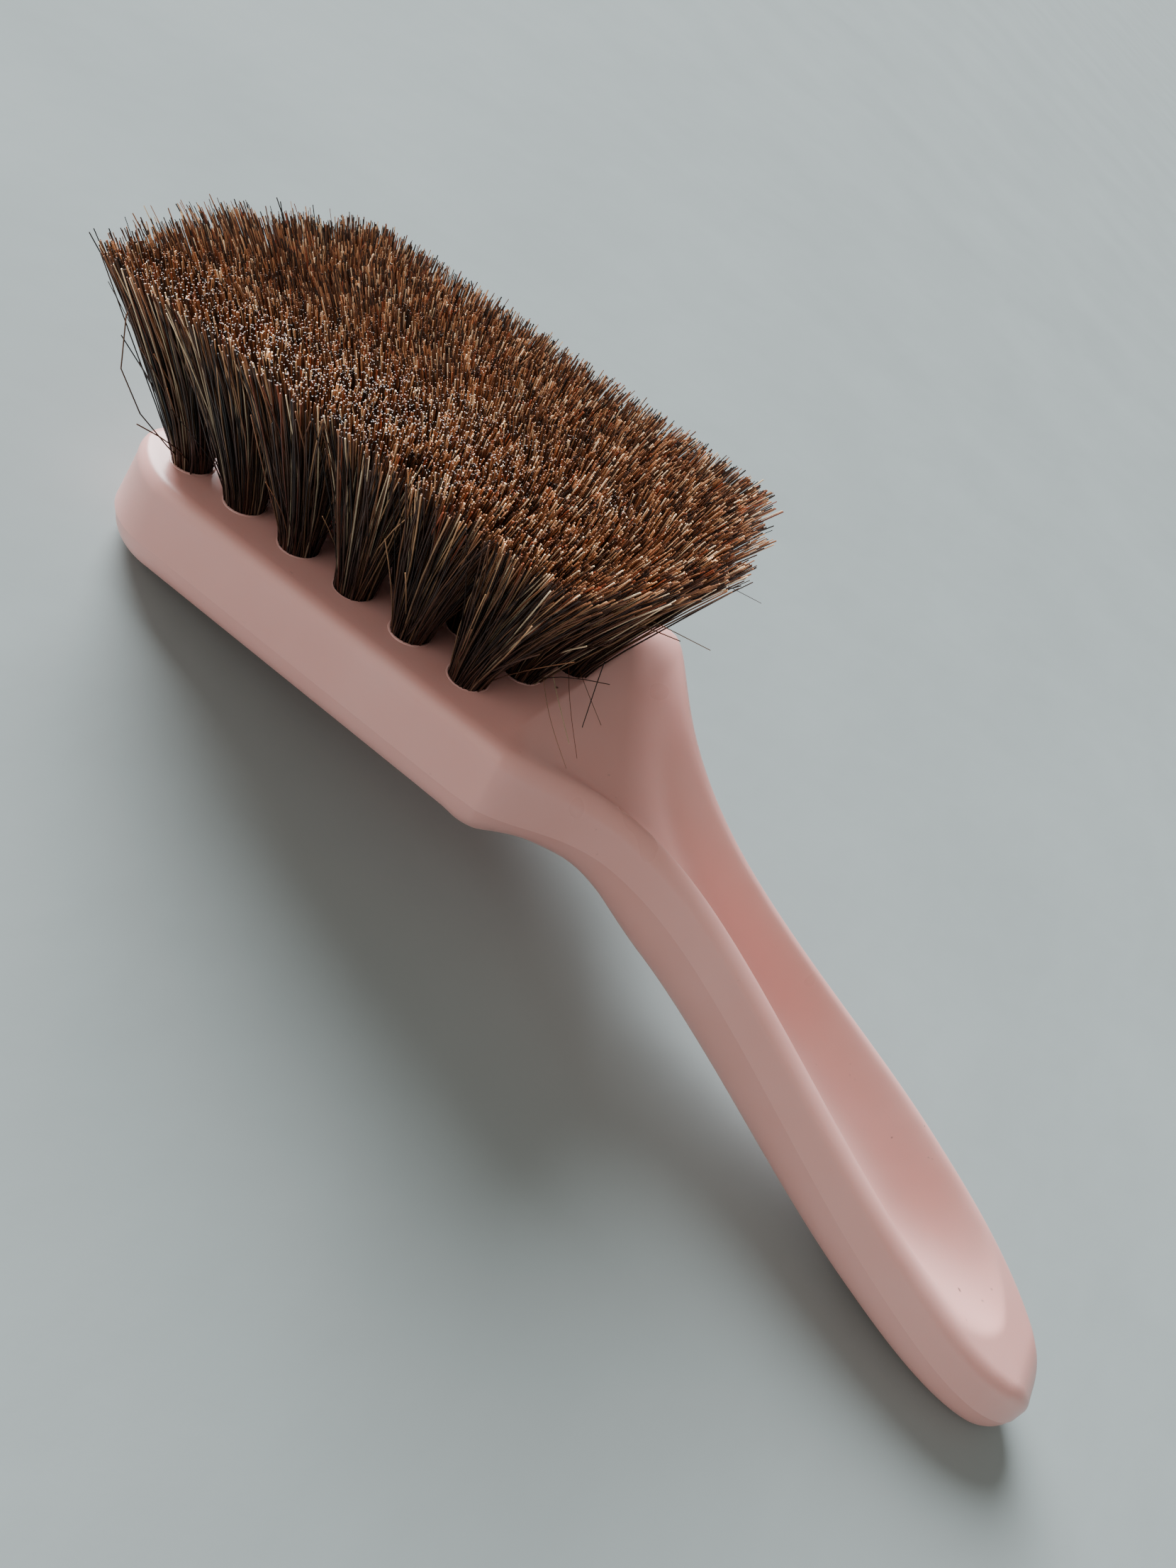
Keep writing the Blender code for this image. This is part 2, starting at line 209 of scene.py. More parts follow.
def new_material(name):
    material = bpy.data.materials.new(name)
    material.use_nodes = True
    tree = material.node_tree
    return material, tree, tree.nodes["Principled BSDF"]


def ramp(tree, source, stops):
    """Colour ramp through (position, colour) stops."""
    node = add(tree, "ShaderNodeValToRGB", links={"Fac": source})
    while len(node.color_ramp.elements) < len(stops):
        node.color_ramp.elements.new(0.5)
    for element, (position, colour) in zip(node.color_ramp.elements, stops):
        element.position = position
        element.color = colour
    return node.outputs["Color"]


def grey(value):
    return (value, value, value, 1.0)


def moulded_polypropylene():
    """Injection-moulded polypropylene: satin skin, faint flow marks, fine use scratches, specks."""
    material, tree, shader = new_material("injection-moulded polypropylene")
    place = add(tree, "ShaderNodeTexCoord").outputs["Object"]
    cloud = add(tree, "ShaderNodeTexNoise", {"Scale": 38.0, "Detail": 3.0}, {"Vector": place})
    skin = ramp(tree, cloud.outputs["Fac"], [(0.3, linear("#f3b3ab")), (0.7, linear("#f8bcb5"))])
    dust = add(tree, "ShaderNodeTexNoise", {"Scale": 620.0, "Detail": 1.0}, {"Vector": place})
    specks = ramp(tree, dust.outputs["Fac"], [(0.74, grey(0.0)), (0.8, grey(1.0))])
    patch = add(tree, "ShaderNodeTexNoise", {"Scale": 70.0, "Detail": 2.0}, {"Vector": place})
    patches = ramp(tree, patch.outputs["Fac"], [(0.52, grey(0.0)), (0.72, grey(1.0))])
    where = add(tree, "ShaderNodeMath", {"operation": "MULTIPLY"})
    tree.links.new(specks, where.inputs[0])
    tree.links.new(patches, where.inputs[1])
    stain = add(tree, "ShaderNodeMix", {"data_type": "RGBA", 7: linear("#6f4a44")})
    tree.links.new(where.outputs[0], stain.inputs[0])
    tree.links.new(skin, stain.inputs[6])
    tree.links.new(stain.outputs[2], shader.inputs["Base Color"])

    stretch = add(tree, "ShaderNodeMapping", {"Scale": (90.0, 1900.0, 1900.0)}, {"Vector": place})
    scratch = add(tree, "ShaderNodeTexNoise", {"Scale": 1.0, "Detail": 2.0},
                  {"Vector": stretch.outputs["Vector"]})
    lines = ramp(tree, scratch.outputs["Fac"], [(0.62, grey(0.0)), (0.7, grey(1.0))])
    grain = add(tree, "ShaderNodeTexNoise", {"Scale": 2600.0, "Detail": 2.0}, {"Vector": place})
    wave = add(tree, "ShaderNodeTexNoise", {"Scale": 120.0, "Detail": 1.0}, {"Vector": place})
    fine = add(tree, "ShaderNodeBump", {"Strength": 0.10, "Distance": 0.00006},
               {"Height": grain.outputs["Fac"]})
    marks = add(tree, "ShaderNodeBump", {"Strength": 0.10, "Distance": 0.00005},
                {"Height": lines, "Normal": fine.outputs["Normal"]})
    soft = add(tree, "ShaderNodeBump", {"Strength": 0.16, "Distance": 0.0008},
               {"Height": wave.outputs["Fac"], "Normal": marks.outputs["Normal"]})
    tree.links.new(soft.outputs["Normal"], shader.inputs["Normal"])
    gloss = ramp(tree, cloud.outputs["Fac"], [(0.3, grey(0.27)), (0.7, grey(0.36))])
    tree.links.new(gloss, shader.inputs["Roughness"])
    shader.inputs["IOR"].default_value = 1.49
    shader.inputs["Subsurface Weight"].default_value = 0.18
    shader.inputs["Subsurface Radius"].default_value = (1.0, 0.45, 0.35)
    shader.inputs["Subsurface Scale"].default_value = 0.0022
    return material


def cut_horsehair():
    """Cut horsehair: each hair has its own colour, with painted shade at the root and painted
    highlight at the tip and cut end, and a soft sheen.
    """
    material, tree, shader = new_material("cut horsehair")
    # each hair's own colour, carrying painted shade at the root and painted highlight at the tip
    # and cut end
    own = add(tree, "ShaderNodeAttribute", {"attribute_name": "hair_colour_and_painted_light"})
    place = add(tree, "ShaderNodeTexCoord").outputs["Object"]
    mottle = add(tree, "ShaderNodeTexNoise", {"Scale": 420.0, "Detail": 2.0}, {"Vector": place})
    shade = ramp(tree, mottle.outputs["Fac"], [(0.3, grey(0.72)), (0.7, grey(1.2))])
    tint = add(tree, "ShaderNodeMix", {"data_type": "RGBA", "blend_type": "MULTIPLY", 0: 1.0})
    tree.links.new(own.outputs["Color"], tint.inputs[6])
    tree.links.new(shade, tint.inputs[7])
    tree.links.new(tint.outputs[2], shader.inputs["Base Color"])
    shader.inputs["Roughness"].default_value = 0.38
    shader.inputs["IOR"].default_value = 1.55
    return material


def drawn_steel():
    """Flat drawn steel wire: bright, with lines along its length."""
    material, tree, shader = new_material("drawn steel wire")
    place = add(tree, "ShaderNodeTexCoord").outputs["Object"]
    stretch = add(tree, "ShaderNodeMapping", {"Scale": (3000.0, 200.0, 3000.0)}, {"Vector": place})
    lines = add(tree, "ShaderNodeTexNoise", {"Scale": 1.0}, {"Vector": stretch.outputs["Vector"]})
    gloss = ramp(tree, lines.outputs["Fac"], [(0.3, grey(0.25)), (0.7, grey(0.45))])
    tree.links.new(gloss, shader.inputs["Roughness"])
    shader.inputs["Base Color"].default_value = (0.55, 0.55, 0.57, 1.0)
    shader.inputs["Metallic"].default_value = 1.0
    return material


def hole_shade_material():
    """Painted shade for the mouth of a drilled hole packed with hair roots: near black, without
    shine, standing in for the shade down among the roots.
    """
    material, tree, shader = new_material("painted shade in the tuft holes")
    place = add(tree, "ShaderNodeTexCoord").outputs["Object"]
    grain = add(tree, "ShaderNodeTexNoise", {"Scale": 3000.0}, {"Vector": place})
    # painted shade: near-black colour for the inside of the holes
    dark = ramp(tree, grain.outputs["Fac"], [(0.3, linear("#0b0705")), (0.7, linear("#1d120c"))])
    tree.links.new(dark, shader.inputs["Base Color"])
    shader.inputs["Roughness"].default_value = 0.8
    return material


def drawing_paper():
    """Uncoated drawing paper: matt, slightly cockled, with a fine tooth."""
    material, tree, shader = new_material("uncoated drawing paper")
    place = add(tree, "ShaderNodeTexCoord").outputs["Object"]
    cockle = add(tree, "ShaderNodeTexNoise", {"Scale": 14.0, "Detail": 4.0}, {"Vector": place})
    tooth = add(tree, "ShaderNodeTexNoise", {"Scale": 900.0, "Detail": 3.0}, {"Vector": place})
    tone = ramp(tree, cockle.outputs["Fac"], [(0.3, linear("#9ba5a6")), (0.7, linear("#a1abac"))])
    tree.links.new(tone, shader.inputs["Base Color"])
    fine = add(tree, "ShaderNodeBump", {"Strength": 0.15, "Distance": 0.0001},
               {"Height": tooth.outputs["Fac"]})
    wave = add(tree, "ShaderNodeBump", {"Strength": 0.25, "Distance": 0.004},
               {"Height": cockle.outputs["Fac"], "Normal": fine.outputs["Normal"]})
    tree.links.new(wave.outputs["Normal"], shader.inputs["Normal"])
    shader.inputs["Roughness"].default_value = 0.85
    shader.inputs["Specular IOR Level"].default_value = 0.3
    return material


# ------------------------------------------------------------------ body

def smooth_step(value, start, end):
    share = min(max((value - start) / (end - start), 0.0), 1.0)
    return share * share * (3.0 - 2.0 * share)


def rounding(distance, radius):
    """How far a corner of this radius pulls in, `distance` from the end it closes."""
    if distance >= radius:
        return 0.0
    lack = radius - max(distance, 0.0)
    return radius - math.sqrt(max(radius * radius - lack * lack, 0.0))


def fall_line(x, start, blend):
    """How far the handle has dropped at x, after a soft bend from `start`."""
    run = x - start
    if run <= 0.0:
        return 0.0
    if run < blend:
        return HANDLE_DROOP * run * run / (2.0 * blend)
    return HANDLE_DROOP * (run - blend / 2.0)


def neck_half_width(run):
    """Half width `run` past the shoulder, on a Bezier curve down to the neck."""
    wide = BLOCK_WIDTH / 2.0
    narrow = NECK_WIDTH / 2.0
    length = NECK_DISTANCE - SHOULDER_DISTANCE
    low, high = 0.0, 1.0
    for _ in range(40):
        share = (low + high) / 2.0
        place = length * (3.0 * (1.0 - share) ** 2 * share * 0.18
                          + 3.0 * (1.0 - share) * share ** 2 * 0.333 + share ** 3)
        if place > run:
            high = share
        else:
            low = share
    spread = (1.0 - share) ** 3 + 3.0 * (1.0 - share) ** 2 * share * 0.88
    return narrow + (wide - narrow) * spread


def half_width(x):
    """Half the width of the body at x, seen from above."""
    run = x - BLOCK_LENGTH
    half = BLOCK_WIDTH / 2.0
    if run > SHOULDER_DISTANCE:
        half = neck_half_width(min(run, NECK_DISTANCE) - SHOULDER_DISTANCE)
    half += smooth_step(run, NECK_DISTANCE, GRIP_DISTANCE) * (GRIP_WIDTH - NECK_WIDTH) / 2.0
    if run > GRIP_DISTANCE:
        share = (run - GRIP_DISTANCE) / (HANDLE_LENGTH - GRIP_DISTANCE)
        half *= max(1.0 - share ** 2.8, 0.0) ** 0.556
    return half - rounding(x, CORNER_RADIUS)


def crest_height(x):
    """Height of the top edge at x."""
    return -fall_line(x, BLOCK_LENGTH - 0.6, BEND_LENGTH)


def end_face_share(x):
    """How far up the back end the section at x reaches: a sloping face, then its fillet."""
    fillet = TOP_FILLET / PARTING_DEPTH
    if x < END_DRAFT:
        return 0.12 + (0.88 - fillet) * x / END_DRAFT
    lack = 1.0 - min((x - END_DRAFT) / TOP_FILLET, 1.0)
    return 1.0 - fillet + fillet * math.sqrt(1.0 - lack * lack)


def parting_height(x):
    """Height of the parting line at x."""
    share = smooth_step(x, BLOCK_LENGTH - 4.0, BLOCK_LENGTH + 20.0)
    return crest_height(x) - PARTING_DEPTH - (RIM_ABOVE_PARTING - PARTING_DEPTH) * share


def back_height(x):
    """Height of the back, the side away from the hair, at x."""
    level = -BLOCK_THICKNESS - fall_line(x, BLOCK_LENGTH - 5.6, BEND_LENGTH)
    handle = crest_height(x) - HANDLE_THICKNESS
    run = (x - BLOCK_LENGTH - NECK_DISTANCE) / (HANDLE_LENGTH - NECK_DISTANCE)
    handle += (HANDLE_THICKNESS - TIP_THICKNESS) * max(run, 0.0) ** 2.4
    share = smooth_step(x, BLOCK_LENGTH, BLOCK_LENGTH + 25.0)
    return level + (handle - level) * share


def trough_depth(x):
    """Depth of the handle's trough at x."""
    start = BLOCK_LENGTH - 0.8
    end = TOTAL_LENGTH - TROUGH_END_WALL
    if x <= start or x >= end:
        return 0.0
    fall = 1.0 - math.exp(-(x - start) / TROUGH_RAMP)
    close = math.sin(math.pi / 2.0 * min((end - x) / TROUGH_END_RUN, 1.0))
    return TROUGH_DEPTH * fall * close


def trough_opening(x):
    """Share of the half width that the trough takes at x."""
    end = TOTAL_LENGTH - TROUGH_END_WALL
    lack = 1.0 - min(max(end - x, 0.0) / 10.0, 1.0)
    return max(math.sqrt(1.0 - lack * lack), 0.05)


def body_section(x, arc_steps, trough_steps):
    """Closed section at x: up one side from the middle of the back, and down the other."""
    half = half_width(x)
    lack = max(TIP_RADIUS - (TOTAL_LENGTH - x), 0.0) / TIP_RADIUS
    close = math.sqrt(max(1.0 - lack * lack, 0.0))
    parting = parting_height(x)
    top = parting + (crest_height(x) - parting) * close * end_face_share(x)
    back = parting + (back_height(x) - parting) * close
    back += min(rounding(x, BACK_FILLET) * 0.75, (parting - back) * 0.7)
    inset = min(1.0, half / 8.0)
    fillet = TOP_FILLET * inset
    crest = half - SIDE_DRAFT * inset - fillet
    crest -= rounding(x, TOP_CORNER_RADIUS) - rounding(x, CORNER_RADIUS)
    share = smooth_step(x, BLOCK_LENGTH - 6.0, BLOCK_LENGTH + 20.0)
    flat = (half - BACK_FILLET * inset) * (1.0 - share) + 0.4 * half * share
    lower = half - PARTING_STEP * inset
    tuck = NECK_TUCK * smooth_step(x, BLOCK_LENGTH - 2.0, BLOCK_LENGTH + 8.0)
    tuck *= 1.0 - smooth_step(x, BLOCK_LENGTH + 12.0, BLOCK_LENGTH + 30.0)
    flat *= 1.0 - tuck
    power = 0.9 + 0.6 * tuck

    points = [(0.0, back), (flat * 0.5, back)]
    for step in range(arc_steps + 1):
        angle = math.pi / 2.0 * (1.0 - step / arc_steps)
        across = flat + (lower - flat) * math.cos(angle) ** power
        points.append((across, parting + (back - parting) * math.sin(angle) ** power))
    points.append((half, parting + 0.25 * inset))
    side_top = top - min(fillet, (top - parting) * 0.5)
    for step in range(arc_steps + 1):
        angle = math.pi / 2.0 * step / arc_steps
        across = crest + fillet * math.cos(angle)
        points.append((across, side_top + (top - side_top) * math.sin(angle)))
    depth = trough_depth(x)
    opening = trough_opening(x)
    spread = smooth_step(x, BLOCK_LENGTH + 4.0, BLOCK_LENGTH + 30.0)
    wall = FACET_WALL + (1.0 - FACET_WALL) * spread
    for step in range(1, trough_steps + 1):
        share = step / trough_steps
        inner = max((share - 1.0 + opening) / opening, 0.0)
        inner = min(inner / wall, 1.0)
        fall = (1.0 - math.cos(math.pi * inner ** 0.8)) / 2.0
        points.append((crest * (1.0 - share), top - depth * fall))
    return points + [(-y, z) for y, z in reversed(points[1:-1])]


def body_stations():
    """Places of the sections, close together where the body turns."""
    stations = list(np.linspace(0.0, END_DRAFT, 6))
    stations += list(np.linspace(END_DRAFT, 5.0, 12)[1:])
    stations += list(np.linspace(5.0, CORNER_RADIUS, 14)[1:])
    stations += list(np.linspace(CORNER_RADIUS, BLOCK_LENGTH - 4.0, 12)[1:])
    stations += list(np.linspace(BLOCK_LENGTH - 4.0, BLOCK_LENGTH + 6.0, 32)[1:])
    stations += list(np.linspace(BLOCK_LENGTH + 6.0, TOTAL_LENGTH - 24.0, 84)[1:])
    stations += list(np.linspace(TOTAL_LENGTH - 24.0, TOTAL_LENGTH - 8.0, 24)[1:])
    last = np.linspace(0.0, 1.0, 22)[1:]
    stations += [TOTAL_LENGTH - 8.0 + 7.93 * math.sin(math.pi / 2.0 * s) for s in last]
    return stations


def make_body(material):
    """Bridges one section after another along the body, and caps both ends."""
    form = bmesh.new()
    before = None
    for x in body_stations():
        ring = [form.verts.new((x, y, z)) for y, z in body_section(x, 8, 18)]
        edges = [form.edges.new((a, b)) for a, b in zip(ring, ring[1:] + ring[:1])]
        if before:
            bmesh.ops.bridge_loops(form, edges=before + edges)
        else:
            bmesh.ops.holes_fill(form, edges=edges, sides=0)
        before = edges
    bmesh.ops.holes_fill(form, edges=before, sides=0)
    return new_piece("body_skin", finish_form(form, "body_skin"), material)


# ------------------------------------------------------------------ tufts

def tuft_places():
    """(row, column, x, y) of every tuft; every row spans the same length."""
    places = []
    span = (max(TUFTS_IN_ROW) - 1) * TUFT_PITCH
    middle = (len(TUFTS_IN_ROW) - 1) / 2.0
    for row, count in enumerate(TUFTS_IN_ROW):
        first = FIRST_TUFT + ROW_SHIFT * (middle - abs(row - middle))
        for column in range(count):
            x = first + span * column / (count - 1)
            places.append((row + 1, column + 1, x, (row - middle) * ROW_PITCH))
    return places


def make_lips(plastic, shade_material):
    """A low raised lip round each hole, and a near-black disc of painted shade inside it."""
    lips = bmesh.new()
    shade_discs = bmesh.new()
    rng = np.random.default_rng(7)
    for _, _, x, y in tuft_places():
        rise = rng.uniform(0.05, 0.2)
        bead = rng.uniform(0.22, 0.34)
        stand = Matrix.Rotation(math.pi / 2.0, 4, "X")
        start = Matrix.Translation((x + HOLE_RADIUS + 0.05, y, rise - bead)) @ stand
        loop = bmesh.ops.create_circle(lips, segments=10, radius=bead, matrix=start)
        edges = list({edge for vert in loop["verts"] for edge in vert.link_edges})
        bmesh.ops.spin(lips, geom=loop["verts"] + edges, cent=(x, y, 0.0), axis=(0.0, 0.0, 1.0),
                       angle=math.tau, steps=32, use_merge=True)
        # painted shade: a near-black disc just above the mouth of each hole
        spot = Matrix.Translation((x, y, 0.06))
        bmesh.ops.create_circle(shade_discs, cap_ends=True, segments=32, radius=HOLE_RADIUS, matrix=spot)
    bmesh.ops.remove_doubles(lips, verts=lips.verts, dist=0.0005)
    lip_piece = new_piece("hole_lips", finish_form(lips, "hole_lips"), plastic)
    shade_disc_piece = new_piece("painted_hole_shade", finish_form(shade_discs, "painted_hole_shade"), shade_material)
    return lip_piece, shade_disc_piece


HAIR_COLOURS = (
    ("#1b110e", 0.20), ("#352017", 0.20), ("#553524", 0.20), ("#7c5238", 0.17),
    ("#a27a59", 0.12), ("#d2b898", 0.07), ("#703620", 0.04),
)


def disc_from_square(a, b):
    """Takes points of the square -1..1 to the unit disc without bunching them."""
    radius = np.where(np.abs(a) > np.abs(b), a, b)
    big = np.maximum(np.abs(radius), 1e-9) * np.sign(radius + 1e-12)
    turn = np.where(np.abs(a) > np.abs(b), math.pi / 4.0 * b / big,
                    math.pi / 2.0 - math.pi / 4.0 * a / big)
    return radius * np.cos(turn), radius * np.sin(turn)


def round_corners(tip_x, tip_y):
    """Pulls tips that stand past the face's rounded corners most of the way back in."""
    along = (tip_x - FACE_MIDDLE) / (FACE_LENGTH / 2.0)
    across = tip_y / (FACE_WIDTH / 2.0 + 1.0)
    reach = np.abs(along) ** CORNER_POWER + np.abs(across) ** CORNER_POWER
    reach = reach ** (1.0 / CORNER_POWER)
    kept = 1.0 + (reach - 1.0) * CORNER_GIVE
    pull = np.where(reach > 1.0, kept / np.maximum(reach, 1.0), 1.0)
    return FACE_MIDDLE + (tip_x - FACE_MIDDLE) * pull, tip_y * pull


def tuft_hairs(rng, row, column, x, y, count):
    """Paths (count, points, 3) of one tuft's hairs, from the hole to the trimmed face."""
    in_row = TUFTS_IN_ROW[row - 1]
    whole = FACE_LENGTH - FACE_TAPER * abs(row - (len(TUFTS_IN_ROW) + 1) / 2.0)
    length = whole / in_row
    depth = FACE_WIDTH / len(TUFTS_IN_ROW)
    a = rng.uniform(-1.0, 1.0, count)
    b = rng.uniform(-1.0, 1.0, count)
    px, py = disc_from_square(a, b)
    base_x = x + px * (HOLE_RADIUS - ROOT_INSET)
    base_y = y + py * (HOLE_RADIUS - ROOT_INSET)
    cell_x = FACE_MIDDLE - whole / 2.0 + length * (column - 0.5)
    cell_y = depth * (row - 0.5) - FACE_WIDTH / 2.0
    tip_x = cell_x + a * length * 0.5 + rng.normal(0.0, TIP_SCATTER, count)
    tip_y = cell_y + b * depth * 0.5 + rng.normal(0.0, TIP_SCATTER, count)
    if column == 1:
        tip_x -= rng.exponential(BACK_FLARE, count) * (a < 0.0)
    if column == in_row:
        tip_x += rng.exponential(FRONT_FLARE, count) * (a > 0.0)
    if row in (1, len(TUFTS_IN_ROW)):
        side = -1.0 if row == 1 else 1.0
        tip_y += side * rng.exponential(SIDE_FLARE, count) * (b * side > 0.2)
    tip_z = BRISTLE_LENGTH + rng.normal(0.0, HEIGHT_SCATTER, count)
    short = rng.random(count) < SHORT_SHARE
    tip_z -= short * rng.exponential(SHORT_BY, count)
    wild = rng.random(count) < WILD_SHARE
    tip_x += wild * rng.normal(0.0, WILD_SCATTER, count)
    tip_y += wild * rng.normal(0.0, WILD_SCATTER, count)
    tip_z = np.clip(tip_z, LOWEST_TIP, BRISTLE_LENGTH + TALLEST_OVER)
    tip_x, tip_y = round_corners(tip_x, tip_y)
    bow_x = rng.normal(0.0, HAIR_BOW, count) * (1.0 + 3.0 * wild)
    bow_y = rng.normal(0.0, HAIR_BOW, count) * (1.0 + 3.0 * wild)
    paths = np.empty((count, len(HAIR_SHARES), 3))
    for n, t in enumerate(HAIR_SHARES):
        s = t ** 1.3
        swing = math.sin(math.pi * t)
        paths[:, n, 0] = base_x + (tip_x - base_x) * s + bow_x * swing
        paths[:, n, 1] = base_y + (tip_y - base_y) * s + bow_y * swing
        paths[:, n, 2] = -ROOT_DEPTH + (tip_z + ROOT_DEPTH) * t
    return paths


def hair_colours(rng, count):
    """A linear colour for each hair, picked from HAIR_COLOURS by share."""
    shares = np.array([share for _, share in HAIR_COLOURS])
    palette = np.array([linear(code)[:3] for code, _ in HAIR_COLOURS])
    picked = palette[rng.choice(len(palette), count, p=shares / shares.sum())]
    return picked * rng.uniform(0.75, 1.25, (count, 1))


def hair_mesh(name, paths, widths, colours, painted_light_ends=(ROOT_PAINTED_SHADE, TIP_PAINTED_HIGHLIGHT)):
    """Draws each path as a thin tube of a curve, then keeps the tubes as one mesh, its colours
    darkened towards the root as painted shade and lightened towards the tip and cut end as painted
    highlight.
    """
    count, points = paths.shape[:2]
    curve = bpy.data.curves.new(name, "CURVE")
    curve.dimensions = "3D"
    curve.bevel_depth = HAIR_RADIUS * MM
    curve.bevel_resolution = 0
    curve.use_fill_caps = True
    flat = np.concatenate([paths.reshape(-1, 3), np.ones((count * points, 1))], axis=1)
    placed = flat @ np.array(PLACE).T
    placed = placed.reshape(count, points, 4)
    placed[:, :, 3] = 1.0
    taper = np.linspace(1.05, 0.8, points)
    for path, width in zip(placed, widths):
        spline = curve.splines.new("POLY")
        spline.points.add(points - 1)
        spline.points.foreach_set("co", path.ravel())
        spline.points.foreach_set("radius", width * taper)
    drawn = bpy.data.objects.new(name, curve)
    bpy.context.scene.collection.objects.link(drawn)
    ready = drawn.evaluated_get(bpy.context.evaluated_depsgraph_get())
    mesh = bpy.data.meshes.new_from_object(ready)
    bpy.data.objects.remove(drawn, do_unlink=True)
    bpy.data.curves.remove(curve)
    mesh.materials.clear()
    around = len(mesh.vertices) // (count * (points + 2))
    along = np.linspace(0.0, 1.0, points)
    # painted light along each hair: painted shade at the root, painted highlight towards the tip
    painted_light_along = painted_light_ends[0] + (painted_light_ends[1] - painted_light_ends[0]) * along ** 3
    tubes = colours[:, None, :] * painted_light_along[None, :, None]
    # end caps: the cut tip is lightened further as painted highlight, the root is darkened as
    # painted shade
    caps = np.stack([colours * painted_light_ends[1] * CUT_END_PAINTED_HIGHLIGHT, colours * painted_light_ends[0]], axis=1)[::-1]
    tones = np.concatenate([caps.reshape(-1, 3), tubes.reshape(-1, 3)])
    values = np.ones((len(tones), around, 4), dtype=np.float32)
    values[:, :, :3] = tones[:, None, :]
    attribute = mesh.attributes.new("hair_colour_and_painted_light", "FLOAT_COLOR", "POINT")
    attribute.data.foreach_set("color", values.ravel())
    mesh.shade_smooth()
    return mesh


def make_rows(material):
    """One piece for each row of tufts, standing in for the row's solid tufts."""
    pieces = []
    for row, in_row in enumerate(TUFTS_IN_ROW, 1):
        rng = np.random.default_rng(100 + row)
        places = [place for place in tuft_places() if place[0] == row]
        paths = np.concatenate([tuft_hairs(rng, *place, HAIRS_PER_TUFT) for place in places])
        widths = rng.uniform(0.7, 1.35, len(paths))
        mesh = hair_mesh(f"hair_row_{row}", paths, widths, hair_colours(rng, len(paths)))
        piece = new_piece(f"hair_row_{row}", mesh, material)
        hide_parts(*[f"tuft_{row}_{column}" for column in range(1, in_row + 1)])
        pieces.append(piece)
    return pieces


def stray_corners(rng):
    """Four pull points for each shed, bent and lone hair, in that order."""
    strays = []
    for _ in range(SHED_HAIRS):
        start = np.array([rng.uniform(66.0, 77.0), rng.uniform(-16.0, 12.0)])
        heading = rng.uniform(-1.3, -0.2)
        step = np.array([math.cos(heading), math.sin(heading)]) * rng.uniform(3.5, 6.0)
        places = [start + step * n for n in range(4)]
        strays.append([(*place, z) for place, z in zip(places, (5.0, 1.4, 0.4, -1.0))])
    for _ in range(BENT_HAIRS):
        x = rng.uniform(5.0, 76.0)
        top = rng.uniform(11.0, 20.0)
        reach = rng.uniform(3.0, 8.0)
        strays.append([(x, -21.0, top - 4.0), (x, -23.0, top), (x + reach, -23.5, top),
                       (x + reach, -22.5, top - 3.0)])
    for _ in range(LONE_HAIRS):
        end = rng.choice([-1.0, 1.0])
        edge = FACE_MIDDLE + end * (FACE_LENGTH / 2.0 - 8.0)
        y = rng.uniform(-14.0, 14.0)
        z = rng.uniform(12.0, 22.0)
        out = end * rng.uniform(5.0, 12.0)
        strays.append([(edge, y, z), (edge + out * 0.4, y, z + 1.0),
                       (edge + out * 0.7, y, z + 1.5), (edge + out, y + 2.0, z + 1.0)])
    return strays


def smooth_path(points, count):
    """Points on the Bezier curve that the four given points pull into shape."""
    corners = np.array(points, dtype=float)
    t = np.linspace(0.0, 1.0, count)[:, None]
    near = (1.0 - t) ** 3 * corners[0] + 3.0 * (1.0 - t) ** 2 * t * corners[1]
    return near + 3.0 * (1.0 - t) * t ** 2 * corners[2] + t ** 3 * corners[3]


def make_strays(material):
    rng = np.random.default_rng(41)
    paths = np.stack([smooth_path(points, STRAY_POINTS) for points in stray_corners(rng)])
    widths = rng.uniform(0.5, 0.9, len(paths))
    colours = hair_colours(rng, len(paths))
    # no painted shade or highlight along these hairs, but their cut ends keep the painted highlight
    mesh = hair_mesh("stray_hairs", paths, widths, colours, (1.0, 1.0))
    return new_piece("stray_hairs", mesh, material)


# ------------------------------------------------------------------ stage

def make_floor(material):
    form = bmesh.new()
    bmesh.ops.create_grid(form, x_segments=1, y_segments=1, size=PAPER_HALF_SIDE)
    mesh = bpy.data.meshes.new("paper")
    form.to_mesh(mesh)
    form.free()
    floor = new_piece("paper", mesh, material)
    floor.location.z = -PAPER_DROP


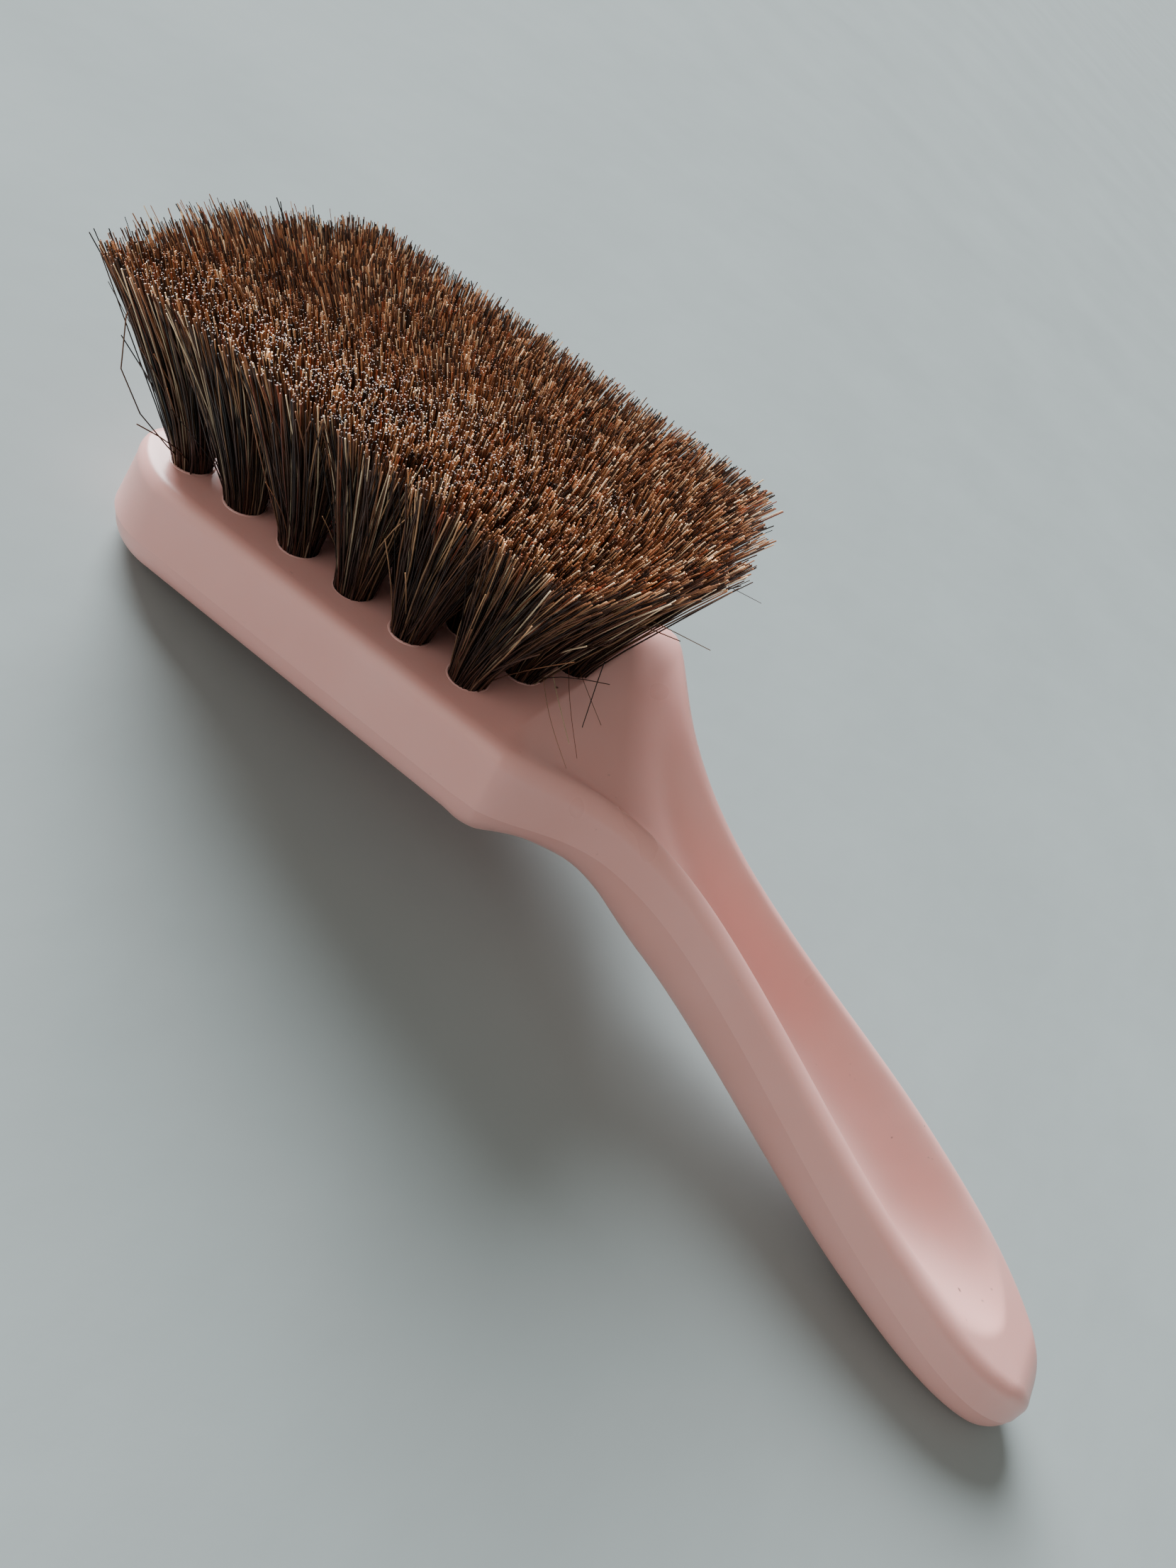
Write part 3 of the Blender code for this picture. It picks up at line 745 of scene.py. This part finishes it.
def far_light(name, place, strength, spread, colour):
    """A large soft lamp so far off that it lights the whole paper evenly."""
    light = bpy.data.lights.new(name, "SUN")
    light.energy = strength
    light.angle = math.radians(spread)
    light.color = colour
    lamp = bpy.data.objects.new(name, light)
    bpy.context.scene.collection.objects.link(lamp)
    lamp.rotation_euler = (-Vector(place)).to_track_quat("-Z", "Y").to_euler()


def make_light():
    scene = bpy.context.scene
    world = bpy.data.worlds.new("soft room")
    scene.world = world
    world.use_nodes = True
    back = world.node_tree.nodes["Background"]
    back.inputs["Color"].default_value = ROOM_COLOUR
    back.inputs["Strength"].default_value = ROOM_STRENGTH
    far_light("window", (-0.76, 0.43, 0.50), 8.6, 40.0, (0.94, 0.98, 1.0))
    far_light("far wall", (-0.45, -0.75, 0.42), 0.7, 55.0, (1.0, 0.94, 0.86))


def make_camera():
    """Standing over the handle's near side, turned so that the handle runs down the view."""
    place = PLACE @ Vector(CAMERA_PLACE)
    turn = PLACE.to_3x3().normalized()
    up = (turn @ Vector(CAMERA_UP)).normalized()
    back = (turn @ Vector(CAMERA_BACK)).normalized()
    right = up.cross(back).normalized()
    up = back.cross(right)
    camera = bpy.data.cameras.new("camera")
    camera.sensor_fit = "VERTICAL"
    camera.sensor_height = SENSOR_HEIGHT
    camera.lens = CAMERA_LENS
    camera.clip_start = NEAREST_SEEN
    item = bpy.data.objects.new("camera", camera)
    bpy.context.scene.collection.objects.link(item)
    pose = Matrix((right, up, back)).transposed().to_4x4()
    pose.translation = place
    item.matrix_world = pose
    bpy.context.scene.camera = item


def main():
    plastic = moulded_polypropylene()
    hair = cut_horsehair()
    steel = drawn_steel()
    body = make_body(plastic)
    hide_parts("moulded_body")
    lips, shade_discs = make_lips(plastic, hole_shade_material())
    rows = make_rows(hair)
    rows.append(make_strays(hair))
    for piece in [body, lips, shade_discs, *rows]:
        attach(piece, "root")
    for name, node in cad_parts.items():
        if name.startswith("anchor_"):
            for place in node.material_slots:
                place.material = steel
    make_floor(drawing_paper())
    make_light()
    make_camera()


main()
